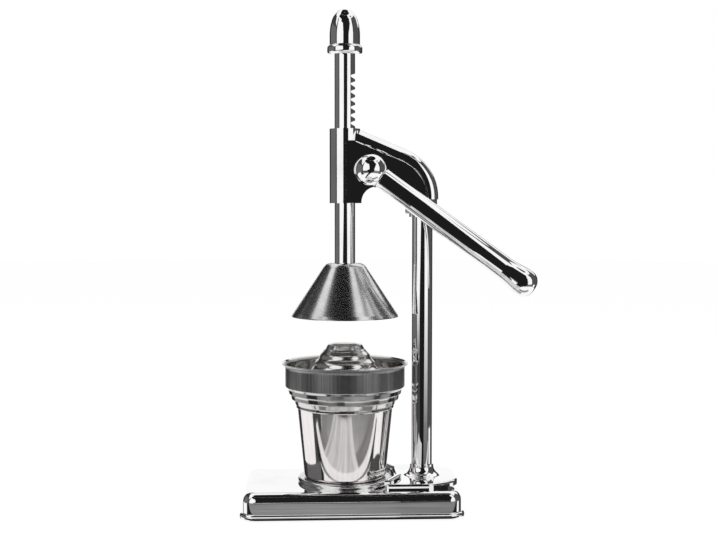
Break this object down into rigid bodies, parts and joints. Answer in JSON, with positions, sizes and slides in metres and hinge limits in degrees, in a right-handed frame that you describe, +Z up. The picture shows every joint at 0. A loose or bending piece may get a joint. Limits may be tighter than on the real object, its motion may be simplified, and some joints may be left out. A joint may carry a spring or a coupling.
{
  "type": "lever citrus juice press",
  "caption": "Upright hand press: a lever turns a pinion that drives a toothed rod and cone down onto a ringed reamer in a strainer bowl over a cup.",
  "frame": {"origin": "middle of the whole press's box, on the surface it stands on", "axes": "+Z up, +X from the cup towards the post, +Y from the lever's side to the back"},
  "size_m": [0.2668, 0.118, 0.4558],
  "materials": {
    "chrome": "polished chrome plate",
    "rubber": "matt black rubber",
    "screw_steel": "zinc-plated steel",
    "polished_steel": "polished stainless steel",
    "brushed_steel": "brushed stainless steel",
    "satin_steel": "satin steel",
    "bush_brass": "plain bearing bronze",
    "gear_steel": "machined steel"
  },
  "bodies": {
    "root": {"base_shell": "chrome", "base_feet": "rubber", "foot_screws": "screw_steel", "foot_flange": "chrome", "flange_screws": "screw_steel", "post": "chrome", "post_washer": "screw_steel", "post_nut": "screw_steel", "cup_rest": "chrome", "rest_screws": "screw_steel", "head_casting": "chrome", "head_set_screw": "screw_steel", "front_shaft_bush": "bush_brass", "back_shaft_bush": "bush_brass"},
    "lever": {"pinion": "gear_steel", "pinion_shaft": "gear_steel", "pinion_pin": "gear_steel", "shaft_washer": "screw_steel", "shaft_nut": "chrome", "ball_hub": "chrome", "hub_pin": "gear_steel", "lever_stud": "chrome", "lever_handle": "chrome"},
    "press": {"rack_rod": "chrome", "top_cap": "chrome", "press_cone": "satin_steel", "cone_washer": "screw_steel", "cone_screw": "screw_steel"},
    "cup_set": {"cup": "polished_steel", "strainer_bowl": "brushed_steel", "reamer_cone": "polished_steel"}
  },
  "joints": [
    {"name": "lever_turn", "type": "hinge", "parent": "root", "child": "lever", "pos_m": [-0.01632, 0, 0.3104], "axis": [0, -1, 0], "range_deg": [0, 262]},
    {"name": "press_slide", "type": "slide", "parent": "root", "child": "press", "axis": [0, 0, -1], "range_m": [0, 0.067]},
    {"name": "cup_slide", "type": "slide", "parent": "root", "child": "cup_set", "axis": [-1, 0, 0], "range_m": [0, 0.18]}
  ],
  "couplings": [
    {"joint": "press_slide", "follows": "lever_turn", "m_per_rad": 0.014625}
  ]
}
